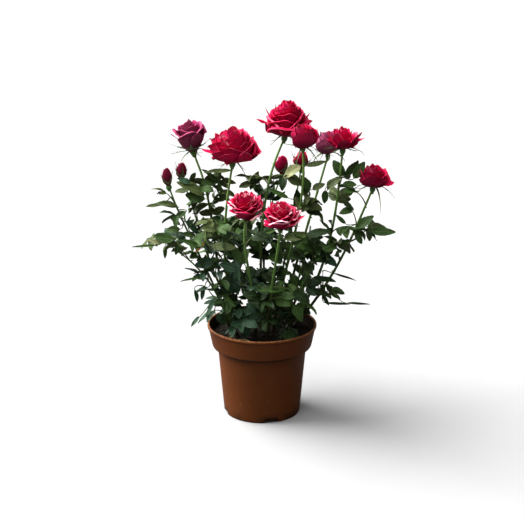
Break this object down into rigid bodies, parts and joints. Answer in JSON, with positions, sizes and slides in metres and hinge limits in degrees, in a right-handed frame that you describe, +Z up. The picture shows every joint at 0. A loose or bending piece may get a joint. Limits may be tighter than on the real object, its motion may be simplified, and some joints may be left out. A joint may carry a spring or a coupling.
{
  "type": "potted rose bush",
  "caption": "Rose bush in a round tapering pot: slender canes rise from the soil and carry open double blooms, closed buds and sprays of toothed leaves.",
  "frame": {"origin": "centre of the pot's flat underside", "axes": "+Z up along the pot's axis, -Y towards the front of the plant, +X to the right"},
  "size_m": [0.288, 0.196, 0.3465],
  "materials": {
    "pot_plastic": "satin brown moulded plastic, a little scuffed",
    "potting_soil": "moist dark compost with fine grains",
    "cane_bark": "smooth green rose cane, darker and woody near the soil",
    "petals": "velvety crimson petals",
    "bud_petals": "dark crimson closed petals in green sepals",
    "leaves": "dark green leaves with a soft sheen, paler below"
  },
  "bodies": {
    "root": {"bloom_far_right": "petals", "bloom_front_left": "petals", "bloom_front_right": "petals", "bloom_left": "petals", "bloom_left_rear": "petals", "bloom_right": "petals", "bloom_right_rear": "petals", "bloom_top": "petals", "bloom_top_right": "petals", "cane_far_left_bud": "cane_bark", "cane_far_right": "cane_bark", "cane_front_left": "cane_bark", "cane_front_right": "cane_bark", "cane_left": "cane_bark", "cane_left_bud": "cane_bark", "cane_left_rear": "cane_bark", "cane_low_left_shoot": "cane_bark", "cane_low_right_shoot": "cane_bark", "cane_rear_left_bud": "cane_bark", "cane_rear_left_shoot": "cane_bark", "cane_rear_right_bud": "cane_bark", "cane_rear_right_shoot": "cane_bark", "cane_right": "cane_bark", "cane_right_rear": "cane_bark", "cane_top": "cane_bark", "cane_top_right": "cane_bark", "far_left_bud": "bud_petals", "leaves_centre": "leaves", "leaves_centre_left": "leaves", "leaves_centre_low_left": "leaves", "leaves_centre_low_right": "leaves", "leaves_far_left": "leaves", "leaves_far_right": "leaves", "leaves_left": "leaves", "leaves_left_droop": "leaves", "leaves_left_front": "leaves", "leaves_left_low": "leaves", "leaves_left_wing": "leaves", "leaves_rear_centre": "leaves", "leaves_rear_left": "leaves", "leaves_rear_low": "leaves", "leaves_rear_right": "leaves", "leaves_right_centre": "leaves", "leaves_right_leaf": "leaves", "leaves_right_node": "leaves", "leaves_right_skirt": "leaves", "leaves_skirt_front_left": "leaves", "leaves_skirt_front_right": "leaves", "leaves_skirt_right": "leaves", "leaves_tall_right": "leaves", "leaves_under_bloom": "leaves", "leaves_upper_centre": "leaves", "leaves_upper_left": "leaves", "leaves_upper_left_fan": "leaves", "leaves_upper_right": "leaves", "left_bud": "bud_petals", "pot": "pot_plastic", "rear_left_bud": "bud_petals", "rear_right_bud": "bud_petals", "soil": "potting_soil"}
  },
  "joints": []
}
